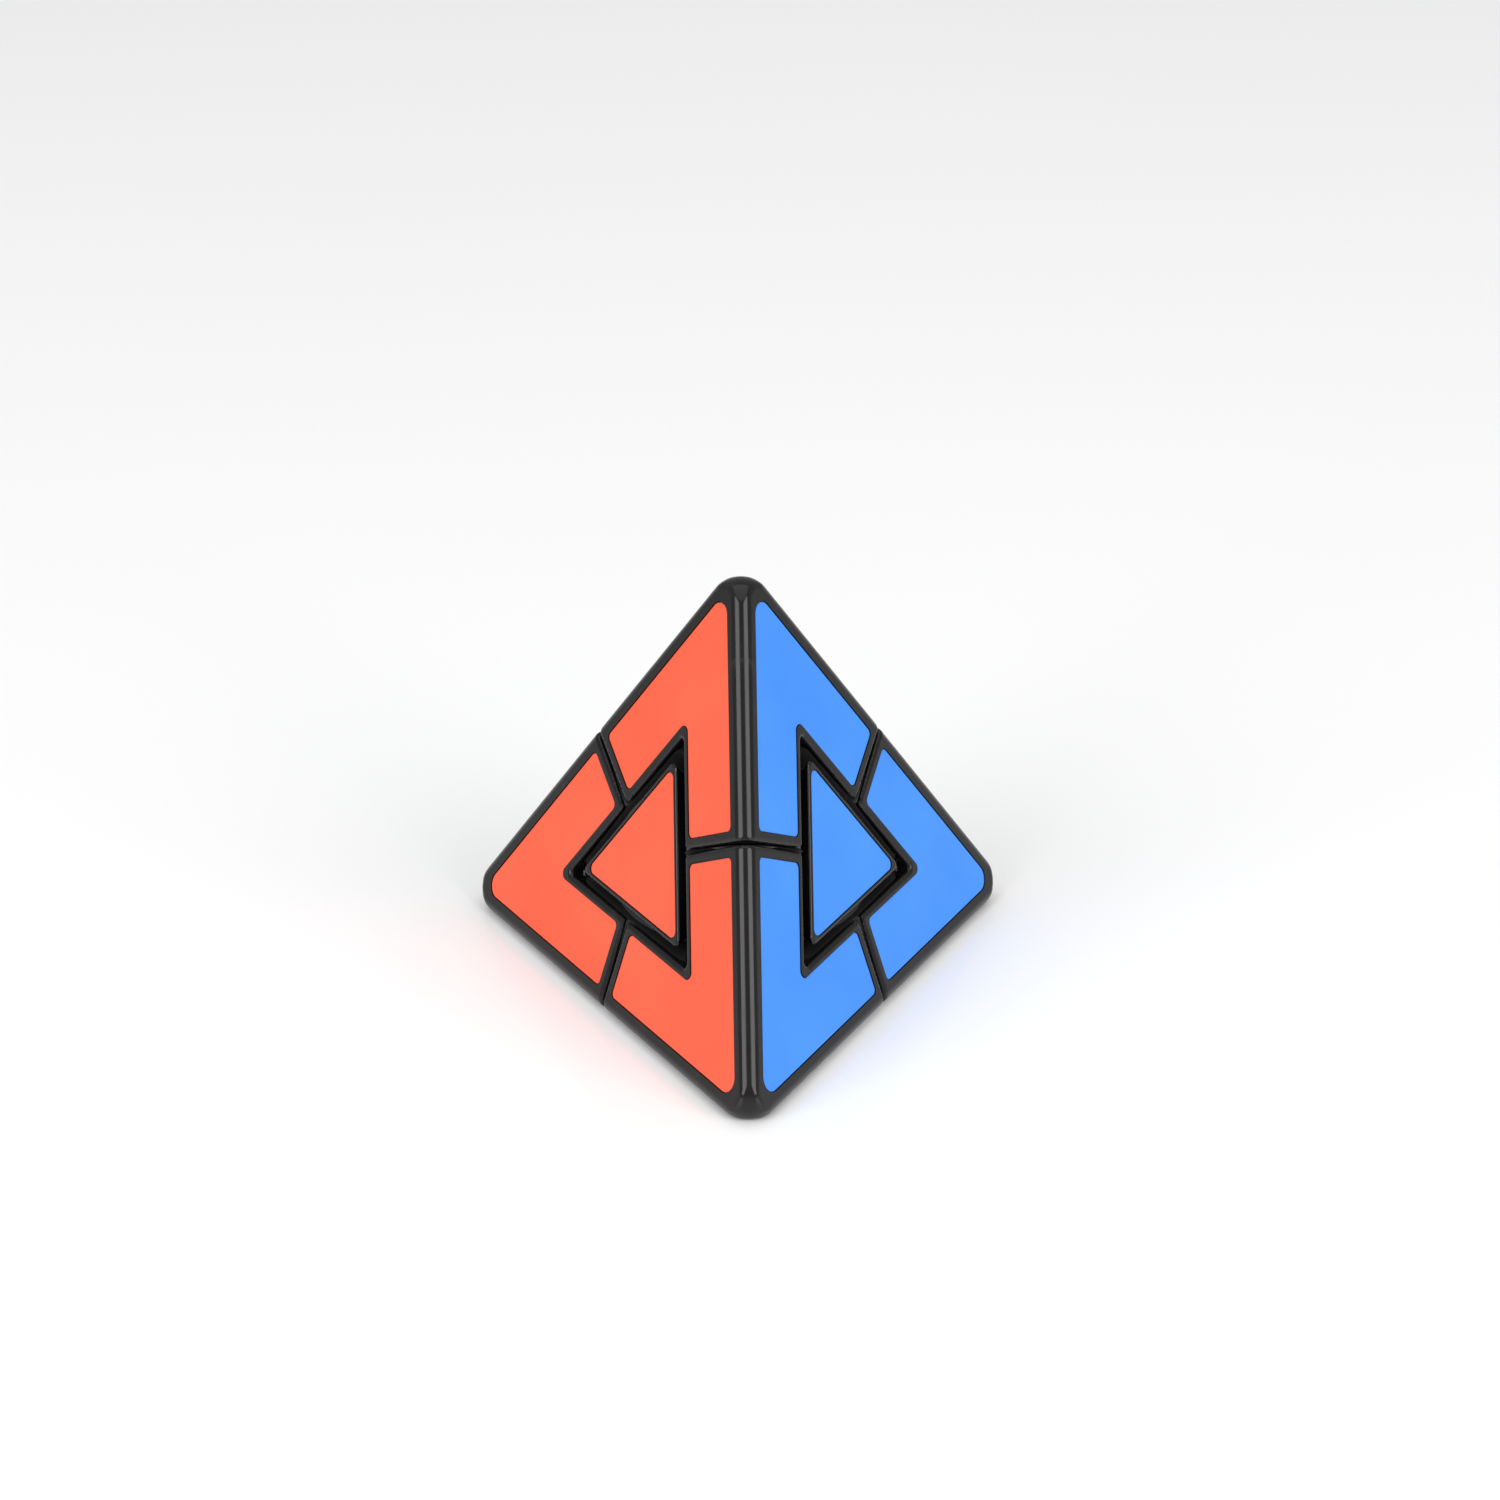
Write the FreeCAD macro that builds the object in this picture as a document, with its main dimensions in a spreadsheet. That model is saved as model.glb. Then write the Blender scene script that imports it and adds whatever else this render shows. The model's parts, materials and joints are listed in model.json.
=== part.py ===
import FreeCAD, Part
import math
import os

import Sketcher
from FreeCAD import Placement, Rotation, Vector

# Two-layer pyramid twisty puzzle: a regular tetrahedron of four corner pieces and four
# face centres that turn on a hidden four-armed core, with six edge sliders under the seams.
#
# Frame: origin at the middle of the face it stands on, +Z up through the top corner, and
# the front corner towards -Y. The pieces are modelled round the core's centre, with the
# top corner's axis on +Z, and every copy is that piece turned onto another axis.

SIZES = (
    # alias, value in mm or degrees, what it is
    ("edge_length", 105.0, "edge of the tetrahedron with sharp corners"),
    ("edge_round", 2.2, "radius along the six outer edges"),
    ("tip_round", 5.5, "radius of the ball that rounds each of the four tips"),
    ("tip_drop", 6.85, "sharp tip to the top of that ball"),
    ("tip_taper", 42.0, "half angle of the taper below the ball, in degrees"),
    ("hole_inradius", 12.0, "centre of a face to the wall of the triangular opening"),
    ("cap_inradius", 10.1, "centre of a face to the side of the centre piece"),
    ("turning_gap", 0.32, "least gap between two pieces that turn past each other"),
    ("seam_lead", 0.04, "how far the seam is set towards the turning layer within that gap"),
    ("cavity_radius", 13.5, "spherical room round the core"),
    ("foot_radius", 17.0, "outer radius of the hidden feet"),
    ("foot_gap", 0.4, "radial room above the feet"),
    ("foot_level", -1.2, "level of the feet's edge, measured along a turning axis"),
    ("neck_sum", 18.5, "radius plus level of the sloping neck above the feet"),
    ("slider_radius", 28.5, "outer radius of the hidden edge sliders"),
    ("slider_side", 11.0, "half the width of an edge slider above its foot"),
    ("wall", 2.2, "wall of the hollow corner shells"),
    ("stem_radius", 6.8, "outer radius of the corner's upper stem"),
    ("stem_top", 30.0, "level of the stem's top"),
    ("stem_step", 23.5, "level of the stem's waist"),
    ("neck_radius", 9.8, "largest radius of the stem's neck"),
    ("flange_step", 18.0, "level below which the neck spreads into its flange"),
    ("flange_radius", 15.5, "largest radius of the flange"),
    ("cap_split", 19.2, "radius at which a centre cap meets its foot"),
    ("peg_radius", 2.0, "radius of the peg that holds a cap on its foot"),
    ("peg_length", 0.9, "how far the peg stands into the cap"),
    ("ball_radius", 8.0, "radius of the core's ball"),
    ("arm_radius", 3.0, "radius of the core's four arms"),
    ("arm_length", 12.8, "core's centre to the end of an arm"),
    ("screw_radius", 1.25, "shank radius of the four screws"),
    ("screw_start", 6.5, "level of the screw's point"),
    ("screw_head_radius", 2.4, "radius of the screw's head"),
    ("screw_head_height", 1.8, "height of the screw's head"),
    ("screw_edge", 0.6, "bevel round the screw's head"),
    ("screw_point", 1.0, "length of the screw's pointed end"),
    ("screw_point_radius", 0.5, "radius left at the very point"),
    ("screw_slot", 0.6, "width of the cross recess in the head"),
    ("screw_slot_reach", 1.5, "middle of the head to the end of a slot"),
    ("screw_slot_depth", 0.9, "depth of the cross recess"),
    ("bore_play", 0.3, "radial play between the screw and the stem"),
    ("well_radius", 3.0, "radius of the spring's well in the stem"),
    ("well_floor", 24.5, "level of the well's floor"),
    ("spring_radius", 2.2, "mean radius of the spring"),
    ("spring_wire", 0.3, "radius of the spring's wire"),
    ("spring_pitch", 1.5, "pitch of the spring"),
    ("spring_length", 6.9, "length of the fitted spring"),
    ("washer_radius", 2.8, "outer radius of the washer"),
    ("washer_thickness", 0.6, "thickness of the washer"),
    ("sticker_margin", 4.45, "sharp edge of a face to the edge of its stickers"),
    ("sticker_notch", 13.55, "centre of a face to the notch in a corner sticker"),
    ("sticker_seam", 2.3, "seam to the edge of a corner sticker"),
    ("sticker_centre", 9.0, "inradius of a centre sticker"),
    ("sticker_thickness", 0.3, "thickness of a sticker"),
    ("sticker_recess", 0.1, "how deep a sticker lies below the face"),
    ("sticker_play", 0.08, "room round a sticker in its recess"),
    ("sticker_tip_round", 2.5, "radius at the tip of a corner sticker"),
    ("sticker_round", 1.0, "radius at the other corners of a corner sticker"),
    ("sticker_notch_round", 1.3, "radius at the bottom of its notch"),
    ("sticker_centre_round", 1.2, "radius at the corners of a centre sticker"),
)

doc = FreeCAD.newDocument("pyramid_puzzle")
sheet = doc.addObject("Spreadsheet::Sheet", "Sizes")
for row, (alias, value, note) in enumerate(SIZES, start=1):
    sheet.set(f"A{row}", note)
    sheet.set(f"B{row}", str(value))
    sheet.setAlias(f"B{row}", alias)
doc.recompute()


def size(alias):
    """A driving dimension, read from the sheet."""
    return float(getattr(sheet, alias))


# Regular tetrahedron. Levels along a turning axis count from the core's centre.
EDGE = size("edge_length")
TIP_LEVEL = math.sqrt(6.0) / 4.0 * EDGE
FACE_LEVEL = TIP_LEVEL / 3.0
FACE_INRADIUS = EDGE / (2.0 * math.sqrt(3.0))
FACE_RISE = 2.0 * math.sqrt(2.0) / 3.0
FACE_SLOPE = 1.0 / (2.0 * math.sqrt(2.0))
EDGE_TO_FACE_CENTRE = math.sqrt(6.0) / 36.0
FACE_CENTRE_LEVEL = EDGE_TO_FACE_CENTRE * EDGE
SQRT2 = math.sqrt(2.0)
SQRT3 = math.sqrt(3.0)
FAR = 40.0  # clear of the outside of the puzzle
CURVE_POINTS = 7
# The tools of revolution start off the planes of symmetry, so no two seam lines meet.
PROFILE_AZIMUTH = 47.0
INSIDE = size("seam_lead") - size("turning_gap") / 2.0
OUTSIDE = size("seam_lead") + size("turning_gap") / 2.0


def axis_towards(azimuth):
    """Unit vector of a lower corner's axis, at the given azimuth in degrees."""
    angle = math.radians(azimuth)
    return Vector(FACE_RISE * math.cos(angle), FACE_RISE * math.sin(angle), -1.0 / 3.0)


AXES = {
    "top": Vector(0, 0, 1),
    "front": axis_towards(-90),
    "right": axis_towards(30),
    "left": axis_towards(150),
}
CORNERS = tuple(AXES)
# A face is named after the side it shows, and lies opposite one corner.
FACE_OPPOSITE = {"top": "base", "front": "back", "left": "right", "right": "left"}


def swap_with_top(corner):
    """Half turn that swaps the top corner with another one and keeps the tetrahedron."""
    if corner == "top":
        return Rotation()
    return Rotation(AXES["top"] + AXES[corner], 180)


def about_top(step):
    """Turn about the top corner's axis by a number of thirds."""
    return Rotation(Vector(0, 0, 1), 120 * step)


def nearest_corner(direction):
    """Name of the corner that lies in a direction."""
    return max(CORNERS, key=lambda name: AXES[name].dot(direction))


# ---------------------------------------------------------------- document helpers

def feature(name, shape):
    """A plain feature that holds a shape worked out from the sheet."""
    item = doc.addObject("Part::Feature", name)
    item.Shape = shape
    return item


def turned(name, source, rotation, shift=Vector()):
    """A placed copy of another object."""
    item = doc.addObject("Part::Compound", name)
    item.Links = [source]
    item.Placement = Placement(shift, rotation)
    return item


def cut(name, base, *tools):
    """Base with every tool taken away."""
    for index, tool in enumerate(tools):
        item = doc.addObject("Part::Cut", name if index == len(tools) - 1 else f"{name}_step")
        item.Base = base
        item.Tool = tool
        base = item
    return base


def common(name, base, *tools):
    """What the base shares with every tool."""
    for index, tool in enumerate(tools):
        item = doc.addObject("Part::Common", name if index == len(tools) - 1 else f"{name}_step")
        item.Base = base
        item.Tool = tool
        base = item
    return base


def fuse(name, *shapes):
    """The shapes joined in one."""
    item = doc.addObject("Part::MultiFuse", name)
    item.Shapes = list(shapes)
    return item


def cylinder(name, radius, low, length):
    """Cylinder about +Z. The sizes are expressions on the sheet."""
    item = doc.addObject("Part::Cylinder", name)
    item.setExpression("Radius", radius)
    item.setExpression("Height", length)
    item.setExpression("Placement.Base.z", low)
    return item


def ball(name, radius):
    """Sphere round the core's centre."""
    item = doc.addObject("Part::Sphere", name)
    item.setExpression("Radius", radius)
    return item


# ---------------------------------------------------------------- outer tetrahedron

def tetrahedron(points):
    """Solid tetrahedron whose faces share their edges."""
    edges = {}
    faces = []
    for triangle in ((0, 1, 2), (0, 2, 3), (0, 3, 1), (1, 3, 2)):
        sides = []
        for start, end in zip(triangle, triangle[1:] + triangle[:1]):
            key = (min(start, end), max(start, end))
            if key not in edges:
                edges[key] = Part.LineSegment(points[key[0]], points[key[1]]).toShape()
            sides.append(edges[key])
        faces.append(Part.Face(Part.Wire(Part.__sortEdges__(sides))))
    return Part.Solid(Part.Shell(faces))


def outer_points(inset=0.0):
    """The four tips of the tetrahedron with its faces moved in by an inset."""
    return [AXES[name] * (TIP_LEVEL - 3.0 * inset) for name in CORNERS]


def soft_tip():
    """Ball and taper that round the top tip, as a solid of revolution."""
    radius = size("tip_round")
    taper = math.radians(size("tip_taper"))
    top = Vector(0, 0, TIP_LEVEL - size("tip_drop"))
    half_way = (taper + math.pi / 2.0) / 2.0
    on_ball = [
        top + Vector(radius * math.cos(angle), 0, radius * (math.sin(angle) - 1.0))
        for angle in (half_way, taper)
    ]
    end = on_ball[1] + Vector(math.sin(taper), 0, -math.cos(taper)) * (4 * FAR)
    profile = Part.Face(Part.Wire([
        Part.Arc(top, on_ball[0], on_ball[1]).toShape(),
        Part.LineSegment(on_ball[1], end).toShape(),
        Part.LineSegment(end, Vector(0, 0, end.z)).toShape(),
        Part.LineSegment(Vector(0, 0, end.z), top).toShape(),
    ]))
    profile.rotate(Vector(), Vector(0, 0, 1), PROFILE_AZIMUTH)
    return profile.revolve(Vector(), Vector(0, 0, 1), 360)


def rounded_body():
    """Tetrahedron rounded along its edges, and more at the top tip."""
    edges = doc.addObject("Part::Fillet", "rounded_edges")
    edges.Base = feature("sharp_tetrahedron", tetrahedron(outer_points()))
    edges.Edges = [(number, size("edge_round"), size("edge_round")) for number in range(1, 7)]
    return common("rounded_tetrahedron", edges, feature("soft_tip", soft_tip()))


# ---------------------------------------------------------------- layer cuts

def face_distance(level):
    """Distance from a turning axis to the faces round it, at a level."""
    return FACE_SLOPE * (TIP_LEVEL - level)


def side_radius(level, inradius):
    """Radius at which the triangle's side in a face turns about the corner's axis."""
    height = (level - FACE_CENTRE_LEVEL) / FACE_RISE
    across = (2.0 * inradius - height) / SQRT3
    return math.hypot(across, face_distance(level))


def seam_radius(level, offset):
    """Radius at which the seam in a face turns about the corner's axis, moved out by an offset."""
    height = (level - FACE_CENTRE_LEVEL) / FACE_RISE
    radius = math.hypot(SQRT3 * height, face_distance(level))
    slope = (3.0 * height / FACE_RISE - FACE_SLOPE * face_distance(level)) / radius
    return radius + offset * math.hypot(1.0, slope)


def waist_level(inradius, offset):
    """Level at which the triangle's side meets the seam."""
    low = FACE_CENTRE_LEVEL
    high = FACE_LEVEL
    for _ in range(50):
        middle = (low + high) / 2.0
        if side_radius(middle, inradius) > seam_radius(middle, offset):
            low = middle
        else:
            high = middle
    return (low + high) / 2.0


def smooth(radius_at, low, high):
    """Smooth edge through a radius law between two levels."""
    points = []
    for index in range(CURVE_POINTS):
        level = low + (high - low) * index / (CURVE_POINTS - 1)
        points.append(Vector(radius_at(level), 0, level))
    curve = Part.BSplineCurve()
    curve.interpolate(points)
    return curve.toShape()


def layer(inradius, offset):
    """Solid of revolution that holds all that turns with the top corner, above the feet.

    The pieces of the layer lie inside it with a negative offset, and the others stay
    outside it with a positive one, so the layer turns freely."""
    neck_sum = size("neck_sum") - SQRT2 * offset
    rim_level = FACE_CENTRE_LEVEL - FACE_RISE * inradius
    rim_start = Vector(neck_sum - rim_level, 0, rim_level)
    rim_end = Vector(side_radius(rim_level, inradius), 0, rim_level)
    waist = waist_level(inradius, offset)
    middle = Vector(seam_radius(FACE_LEVEL, offset), 0, FACE_LEVEL)
    beyond = middle + Vector(SQRT2, 0, 1.0) * FAR
    roof = beyond.z + 1.0
    tip = Vector(0, 0, neck_sum)
    edges = [
        Part.LineSegment(tip, rim_start).toShape(),
        Part.LineSegment(rim_start, rim_end).toShape(),
        smooth(lambda level: side_radius(level, inradius), rim_level, waist),
        smooth(lambda level: seam_radius(level, offset), waist, FACE_LEVEL),
    ]
    closing = [middle, beyond, Vector(beyond.x, 0, roof), Vector(0, 0, roof), tip]
    for start, end in zip(closing, closing[1:]):
        edges.append(Part.LineSegment(start, end).toShape())
    profile = Part.Face(Part.Wire(edges))
    profile.rotate(Vector(), Vector(0, 0, 1), PROFILE_AZIMUTH)
    return profile.revolve(Vector(), Vector(0, 0, 1), 360)


def others_of(name, source):
    """The layer tools of the three corners other than the top one."""
    return [turned(f"{name}_{corner}", source, swap_with_top(corner)) for corner in CORNERS[1:]]


body = rounded_body()
layer_in = feature("layer_in", layer(size("cap_inradius"), INSIDE))
layer_out = feature("layer_out", layer(size("hole_inradius"), OUTSIDE))
feet_in = cylinder(
    "feet_in", "Sizes.edge_length", "Sizes.foot_level + Sizes.turning_gap / 2", "Sizes.edge_length"
)
feet_out = cylinder(
    "feet_out", "Sizes.edge_length", "Sizes.foot_level - Sizes.turning_gap / 2", "Sizes.edge_length"
)
layer_in_other = others_of("layer_in", layer_in)
layer_out_other = others_of("layer_out", layer_out)
feet_in_other = others_of("feet_in", feet_in)
feet_out_other = others_of("feet_out", feet_out)

core_room = ball("core_room", "Sizes.cavity_radius")
feet_ball = ball("feet_ball", "Sizes.foot_radius")
above_ball = ball("above_ball", "Sizes.foot_radius + Sizes.foot_gap")
feet_shell = cut("feet_shell", feet_ball, core_room)
above_shell = cut("above_shell", above_ball, core_room)

corner_block = fuse(
    "corner_block",
    cut("corner_outer", common("corner_blank", body, layer_in), *layer_out_other, above_ball),
    cut("corner_inner", above_shell, *feet_out_other),
)

# A cap needs only the far sides of its three layers: a level cut that turns up into the neck.
cap_level = f"Sizes.edge_length * {EDGE_TO_FACE_CENTRE} - Sizes.cap_inradius * {FACE_RISE}"
cap_neck_sum = f"Sizes.neck_sum + Sizes.turning_gap * {SQRT2 / 2}"
neck_cone = doc.addObject("Part::Cone", "neck_cone")
neck_cone.setExpression("Radius1", f"{cap_neck_sum} - ({cap_level})")
neck_cone.setExpression("Height", f"{cap_neck_sum} - ({cap_level})")
neck_cone.setExpression("Placement.Base.z", cap_level)
neck_cone.Radius2 = 0
cap_above = cylinder("cap_above", "Sizes.edge_length", cap_level, "Sizes.edge_length")
cap_side = cut("cap_side", cap_above, neck_cone)
cap_sides = others_of("cap_side", cap_side)
cap_room = cylinder("cap_room", "Sizes.cap_inradius * 2.2", "-Sizes.edge_length", "Sizes.edge_length")
cap_block = fuse(
    "cap_block",
    common("cap_outer", cut("cap_blank", common("cap_disc", body, cap_room), feet_ball), *cap_sides),
    common("cap_foot", feet_shell, *feet_in_other),
)

slider_ball = ball("slider_ball", "Sizes.slider_radius")
slider_room = doc.addObject("Part::Box", "slider_room")
slider_room.setExpression("Length", "2 * Sizes.slider_side")
slider_room.setExpression("Width", "Sizes.edge_length")
slider_room.setExpression("Height", "Sizes.edge_length")
slider_room.setExpression("Placement.Base.x", "-Sizes.slider_side")
slider_room.setExpression("Placement.Base.y", "-Sizes.edge_length")
slider_room.setExpression("Placement.Base.z", "-Sizes.edge_length / 2")
slider_near = common("slider_near", slider_ball, slider_room, layer_in, layer_in_other[0])
slider_neck_blank = common("slider_neck_blank", above_shell, slider_near)
slider_foot_blank = common("slider_foot_blank", feet_shell, feet_in, feet_in_other[0])
slider_block = fuse(
    "slider_block",
    cut("slider_outer", slider_near, *layer_out_other[1:], above_ball),
    cut("slider_neck", slider_neck_blank, *feet_out_other[1:]),
    cut("slider_foot", slider_foot_blank, *feet_out_other[1:]),
)
doc.recompute()

# ---------------------------------------------------------------- corner: shell and stem

stem_room = fuse(
    "stem_room",
    cylinder("flange_room", "Sizes.flange_radius", "0", "Sizes.flange_step"),
    cylinder("neck_room", "Sizes.neck_radius", "0", "Sizes.stem_step"),
    cylinder("upper_room", "Sizes.stem_radius", "0", "Sizes.stem_top"),
)
screw_bore = cylinder("screw_bore", "Sizes.screw_radius + Sizes.bore_play", "0", "Sizes.stem_top")
spring_well = cylinder("spring_well", "Sizes.well_radius", "Sizes.well_floor", "Sizes.stem_top")
corner_stem = cut("corner_stem", common("stem_blank", corner_block, stem_room), screw_bore, spring_well)

inner_body = feature("inner_tetrahedron", tetrahedron(outer_points(size("wall"))))
wall_in = feature("wall_in", layer(size("cap_inradius"), INSIDE - size("wall")))
wall_out = feature("wall_out", layer(size("hole_inradius") + size("wall"), OUTSIDE + size("wall")))
below_tip = f"{TIP_LEVEL} - Sizes.tip_drop - Sizes.wall"
cavity_top = cylinder("cavity_top", "Sizes.edge_length", "0", below_tip)
cavity_blank = common("cavity_blank", inner_body, wall_in, cavity_top)
cavity = cut("cavity", cavity_blank, *others_of("wall_out", wall_out), stem_room)


# ---------------------------------------------------------------- stickers

def face_point(along_edge, outward):
    """Point in a face, from its centre: along the right-hand edge's upward run and out to that edge."""
    across = SQRT3 / 2.0 * outward - 0.5 * along_edge
    up = 0.5 * outward + SQRT3 / 2.0 * along_edge
    return Vector(across, up, 0)


def rounded_outline(points, radii):
    """Closed wire through the points, each corner rounded with its own radius."""
    starts = []
    ends = []
    edges = []
    for index, (point, radius) in enumerate(zip(points, radii)):
        back = (points[index - 1] - point).normalize()
        ahead = (points[(index + 1) % len(points)] - point).normalize()
        half = back.getAngle(ahead) / 2.0
        reach = radius / math.tan(half)
        inward = (back + ahead).normalize()
        middle = point + inward * (radius / math.sin(half) - radius)
        starts.append(point + back * reach)
        ends.append(point + ahead * reach)
        edges.append(Part.Arc(starts[-1], middle, ends[-1]).toShape())
    for index, start in enumerate(starts):
        edges.append(Part.LineSegment(ends[index - 1], start).toShape())
    return Part.Wire(Part.__sortEdges__(edges))


def corner_outline():
    """Chevron of a corner sticker, its tip up and its notch at the middle of the face."""
    rim = FACE_INRADIUS - size("sticker_margin")
    notch = size("sticker_notch")
    seam = size("sticker_seam")
    right = [
        Vector(0, 2.0 * rim, 0),
        face_point(seam, rim),
        face_point(seam, notch),
        Vector(0, 2.0 * notch, 0),
    ]
    left = [Vector(-point.x, point.y, 0) for point in right[2:0:-1]]
    corner = size("sticker_round")
    radii = [size("sticker_tip_round"), corner, corner, size("sticker_notch_round"), corner, corner]
    return rounded_outline(right + left, radii)


def centre_outline():
    """Triangle of a centre sticker, pointing up."""
    reach = 2.0 * size("sticker_centre")
    points = [
        Vector(reach * math.cos(math.radians(angle)), reach * math.sin(math.radians(angle)), 0)
        for angle in (90, 210, 330)
    ]
    return rounded_outline(points, [size("sticker_centre_round")] * 3)


def plate(name, wire, low, thickness):
    """Flat piece with an outline, its underside at a level below the face."""
    outline = feature(f"{name}_outline", wire)
    item = doc.addObject("Part::Extrusion", name)
    item.Base = outline
    item.DirMode = "Custom"
    item.Dir = Vector(0, 0, 1)
    item.Solid = True
    item.setExpression("LengthFwd", thickness)
    item.setExpression("Placement.Base.z", low)
    return item


def on_face(name, source, corner, opposite):
    """A flat piece laid on the face opposite one corner, its up towards another corner."""
    outward = AXES[opposite] * -1.0
    centre = outward * FACE_LEVEL
    up = (AXES[corner] * TIP_LEVEL - centre).normalize()
    return turned(name, source, Rotation(up.cross(outward), up, outward, "ZXY"), centre)


UNDERSIDE = "-(Sizes.sticker_recess + Sizes.sticker_thickness)"
RECESS_HEIGHT = "Sizes.sticker_recess + 2 * Sizes.sticker_thickness"
play = size("sticker_play")
corner_sticker = plate("corner_sticker", corner_outline(), UNDERSIDE, "Sizes.sticker_thickness")
corner_recess = plate("corner_recess", corner_outline().makeOffset2D(play), UNDERSIDE, RECESS_HEIGHT)
centre_sticker = plate("centre_sticker", centre_outline(), UNDERSIDE, "Sizes.sticker_thickness")
centre_recess = plate("centre_recess", centre_outline().makeOffset2D(play), UNDERSIDE, RECESS_HEIGHT)

recesses = [on_face(f"recess_{name}", corner_recess, "top", name) for name in CORNERS[1:]]
corner_shell = cut("corner_shell", corner_block, stem_room, cavity, *recesses)

# ---------------------------------------------------------------- face centre: cap and foot

PEG_LOW = "-(Sizes.cap_split + Sizes.peg_length)"
split_ball = ball("split_ball", "Sizes.cap_split")
peg = cylinder("peg", "Sizes.peg_radius", PEG_LOW, "2 * Sizes.peg_length")
cap_recess = on_face("cap_recess", centre_recess, "front", "top")
centre_cap = cut("centre_cap", cap_block, split_ball, peg, cap_recess)
centre_foot = fuse("centre_foot", common("foot_blank", cap_block, split_ball), peg)

# ---------------------------------------------------------------- core, screws, springs, washers

HEAD_LEVEL = "Sizes.well_floor + Sizes.spring_length + Sizes.washer_thickness"


def turned_set(name, source):
    """The same piece on all four corner axes."""
    return [turned(f"{name}_{corner}", source, swap_with_top(corner)) for corner in CORNERS]


arm = cylinder("arm", "Sizes.arm_radius", "0", "Sizes.arm_length")
pilot = cylinder("pilot", "Sizes.screw_radius", "Sizes.screw_start", "Sizes.arm_length")
core_ball = ball("core_ball", "Sizes.ball_radius")
core_blank = fuse("core_blank", core_ball, *turned_set("arm", arm))
core = cut("core_cross", core_blank, *turned_set("pilot", pilot))

WASHER_LEVEL = "Sizes.well_floor + Sizes.spring_length"
washer_disc = cylinder("washer_disc", "Sizes.washer_radius", WASHER_LEVEL, "Sizes.washer_thickness")
washer_hole = cylinder("washer_hole", "Sizes.screw_radius + Sizes.bore_play", "0", HEAD_LEVEL)
washer = cut("washer_plain", washer_disc, washer_hole)


def origin_plane(body_object, role):
    """One of a body's own origin planes."""
    return next(item for item in body_object.Origin.OriginFeatures if item.Role == role)


def outline_sketch(body_object, name, role, corners):
    """Closed sketch of straight lines, each corner held by expressions on the sheet."""
    sketch = body_object.newObject("Sketcher::SketchObject", name)
    sketch.AttachmentSupport = [(origin_plane(body_object, role), "")]
    sketch.MapMode = "FlatFace"
    points = []
    for across, up in corners:
        points.append(Vector(float(sketch.evalExpression(across)), float(sketch.evalExpression(up)), 0))
    count = len(points)
    for index, point in enumerate(points):
        sketch.addGeometry(Part.LineSegment(point, points[(index + 1) % count]), False)
    for index in range(count):
        sketch.addConstraint(Sketcher.Constraint("Coincident", index, 2, (index + 1) % count, 1))
    for index, (point, pair) in enumerate(zip(points, corners)):
        for kind, value, text, axis in (
            ("DistanceX", point.x, pair[0], -2),
            ("DistanceY", point.y, pair[1], -1),
        ):
            if abs(value) < 1e-9:
                sketch.addConstraint(Sketcher.Constraint("PointOnObject", index, 1, axis))
                continue
            ends = (-1, 1, index, 1) if value > 0 else (index, 1, -1, 1)
            number = sketch.addConstraint(Sketcher.Constraint(kind, *ends, abs(value)))
            sign = "" if value > 0 else "-"
            sketch.setExpression(f"Constraints[{number}]", f"{sign}({text})")
    return sketch


screw = doc.addObject("PartDesign::Body", "screw")
shank = "Sizes.screw_radius"
head = "Sizes.screw_head_radius"
head_top = f"{HEAD_LEVEL} + Sizes.screw_head_height"
screw_outline = outline_sketch(screw, "screw_outline", "XZ_Plane", (
    ("0", "Sizes.screw_start"),
    ("Sizes.screw_point_radius", "Sizes.screw_start"),
    (shank, "Sizes.screw_start + Sizes.screw_point"),
    (shank, HEAD_LEVEL),
    (head, HEAD_LEVEL),
    (head, f"{head_top} - Sizes.screw_edge"),
    (f"{head} - Sizes.screw_edge", head_top),
    ("0", head_top),
))
screw_turn = screw.newObject("PartDesign::Revolution", "screw_turn")
screw_turn.Profile = screw_outline
screw_turn.ReferenceAxis = (screw_outline, ["V_Axis"])
screw_turn.Angle = 360
doc.recompute()
plain_screw_volume = screw.Shape.Volume
slot = "Sizes.screw_slot / 2"
reach = "Sizes.screw_slot_reach"
cross = outline_sketch(screw, "cross_outline", "XY_Plane", (
    (slot, slot), (reach, slot), (reach, f"-{slot}"), (slot, f"-{slot}"),
    (slot, f"-{reach}"), (f"-{slot}", f"-{reach}"), (f"-{slot}", f"-{slot}"), (f"-{reach}", f"-{slot}"),
    (f"-{reach}", slot), (f"-{slot}", slot), (f"-{slot}", reach), (slot, reach),
))
cross.setExpression("AttachmentOffset.Base.z", head_top)
screw_cross = screw.newObject("PartDesign::Pocket", "screw_cross")
screw_cross.Profile = cross
screw_cross.setExpression("Length", "Sizes.screw_slot_depth")
doc.recompute()
assert screw.Shape.Volume < plain_screw_volume, "the cross recess cut nothing"

coil = doc.addObject("Part::Helix", "coil")
coil.setExpression("Pitch", "Sizes.spring_pitch")
coil.setExpression("Height", "Sizes.spring_length - 2 * Sizes.spring_wire")
coil.setExpression("Radius", "Sizes.spring_radius")
TURNS_PER_SEGMENT = 1
coil.SegmentLength = TURNS_PER_SEGMENT
doc.recompute()
wire = doc.addObject("Part::Circle", "spring_wire")
wire.setExpression("Radius", "Sizes.spring_wire")
wire.Placement = Placement(Vector(size("spring_radius"), 0, 0), Rotation(Vector(1, 0, 0), 90))
spring_sweep = doc.addObject("Part::Sweep", "spring_sweep")
spring_sweep.Sections = [wire]
spring_sweep.Spine = (coil, [f"Edge{number}" for number in range(1, len(coil.Shape.Edges) + 1)])
spring_sweep.Solid = True
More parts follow.
